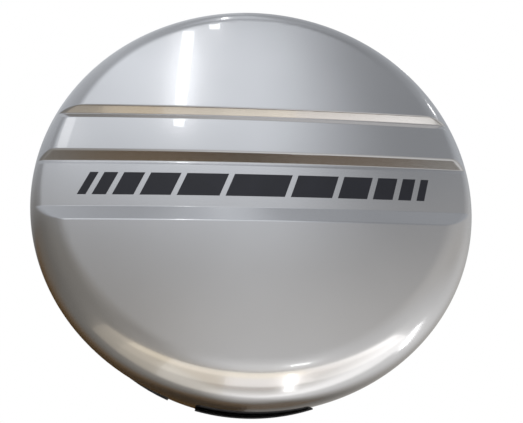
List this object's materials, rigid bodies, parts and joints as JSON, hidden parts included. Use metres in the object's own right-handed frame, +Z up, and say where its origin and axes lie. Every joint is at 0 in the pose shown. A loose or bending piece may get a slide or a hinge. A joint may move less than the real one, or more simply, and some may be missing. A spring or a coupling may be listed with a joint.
{
  "type": "spare tire cover",
  "caption": "Rigid round spare tire cover: painted domed shell with two level grooves, black rear ring, carrier bracket, snap studs and a key lock at the bottom.",
  "frame": {"origin": "centre of the carrier bracket's rear mounting face, on the cover's own axis", "axes": "+Z up, +Y out of the back of the cover into the carrier, so the painted face looks towards -Y; +X to the right of a person facing the cover"},
  "size_m": [0.82, 0.2393, 0.8206],
  "materials": {
    "silver_paint": "metallic silver paint under clear coat, on moulded ABS",
    "black_trim": "satin near-black vinyl film",
    "black_plastic": "fine-grained black polypropylene",
    "grey_plastic": "dark grey moulded ABS",
    "nylon": "natural nylon",
    "black_steel": "black electro-coated pressed steel",
    "zinc_steel": "zinc plated",
    "die_cast": "dull die-cast zinc alloy",
    "rubber": "black EPDM rubber",
    "foam": "closed-cell foam"
  },
  "bodies": {
    "mounting_ring": {"carrier_bracket": "black_steel", "rear_ring": "black_plastic", "arm_bushes": "rubber", "arm_washers": "zinc_steel", "arm_bolts": "zinc_steel", "arm_nuts": "zinc_steel", "edge_seal": "rubber", "guide_pins": "zinc_steel", "ball_studs": "zinc_steel", "stud_nuts": "zinc_steel", "lower_guard": "black_plastic", "guard_screws": "zinc_steel", "lock_housing": "die_cast", "cap_hinge_pin": "zinc_steel"},
    "cover": {"outer_shell": "silver_paint", "trim_stripes": "black_trim", "scuff_strip": "black_plastic", "inner_rim": "grey_plastic", "stud_clips": "nylon", "guide_sockets": "nylon", "striker": "zinc_steel", "striker_rivets": "zinc_steel", "tyre_pads": "foam"},
    "lock": {"lock_plug": "zinc_steel", "lock_cam": "zinc_steel", "cam_nut": "zinc_steel"},
    "cap": {"dust_cap": "black_plastic"}
  },
  "joints": [
    {"name": "cover_pull_off", "type": "slide", "parent": "mounting_ring", "child": "cover", "axis": [0, -1, 0], "range_m": [0, 0.3]},
    {"name": "key_turn", "type": "hinge", "parent": "mounting_ring", "child": "lock", "pos_m": [0, -0.009, -0.39], "axis": [0, 0, 1], "range_deg": [0, 90]},
    {"name": "cap_flip", "type": "hinge", "parent": "mounting_ring", "child": "cap", "pos_m": [0, -0.0034, -0.40875], "axis": [1, 0, 0], "range_deg": [0, 100]}
  ]
}
